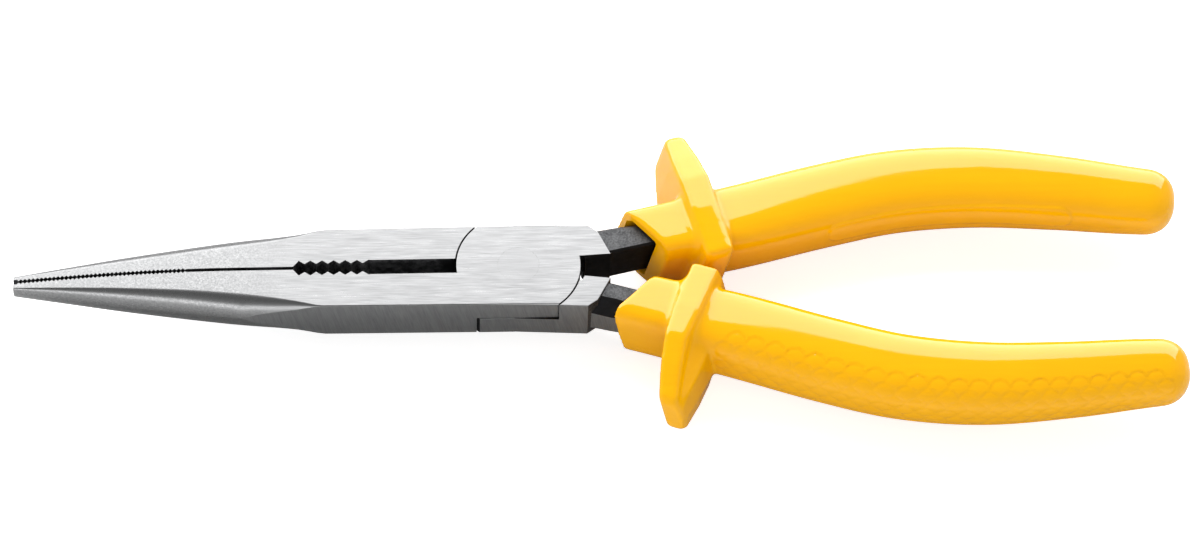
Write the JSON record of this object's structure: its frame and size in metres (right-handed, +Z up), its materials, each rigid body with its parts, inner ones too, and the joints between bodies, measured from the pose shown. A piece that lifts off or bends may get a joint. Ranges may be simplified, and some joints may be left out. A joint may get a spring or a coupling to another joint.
{
  "type": "needle nose pliers",
  "caption": "Long nose pliers with tapered serrated jaws, a pipe grip, a lap joint on a flush rivet and insulating sleeves with hand guards.",
  "frame": {"origin": "on the rivet axis, in the flat ground underside of the joint", "axes": "-X towards the jaw tips, +X towards the handles, +Y towards the upper handle, +Z up along the rivet axis"},
  "size_m": [0.2038, 0.0585, 0.0144],
  "materials": {
    "ground_steel": "ground and brushed faces, dark forged tangs",
    "rivet_steel": "ground flush",
    "yellow_plastic": "glossy moulded yellow"
  },
  "bodies": {
    "lower_half": {"lower_handle_half": "ground_steel", "lower_grip_sleeve": "yellow_plastic", "pivot_rivet": "rivet_steel"},
    "upper_half": {"upper_handle_half": "ground_steel", "upper_grip_sleeve": "yellow_plastic"}
  },
  "joints": [
    {"name": "plier_pivot", "type": "hinge", "parent": "lower_half", "child": "upper_half", "pos_m": [0, 0, 0.00428], "axis": [0, 0, 1], "range_deg": [0, 40]}
  ]
}
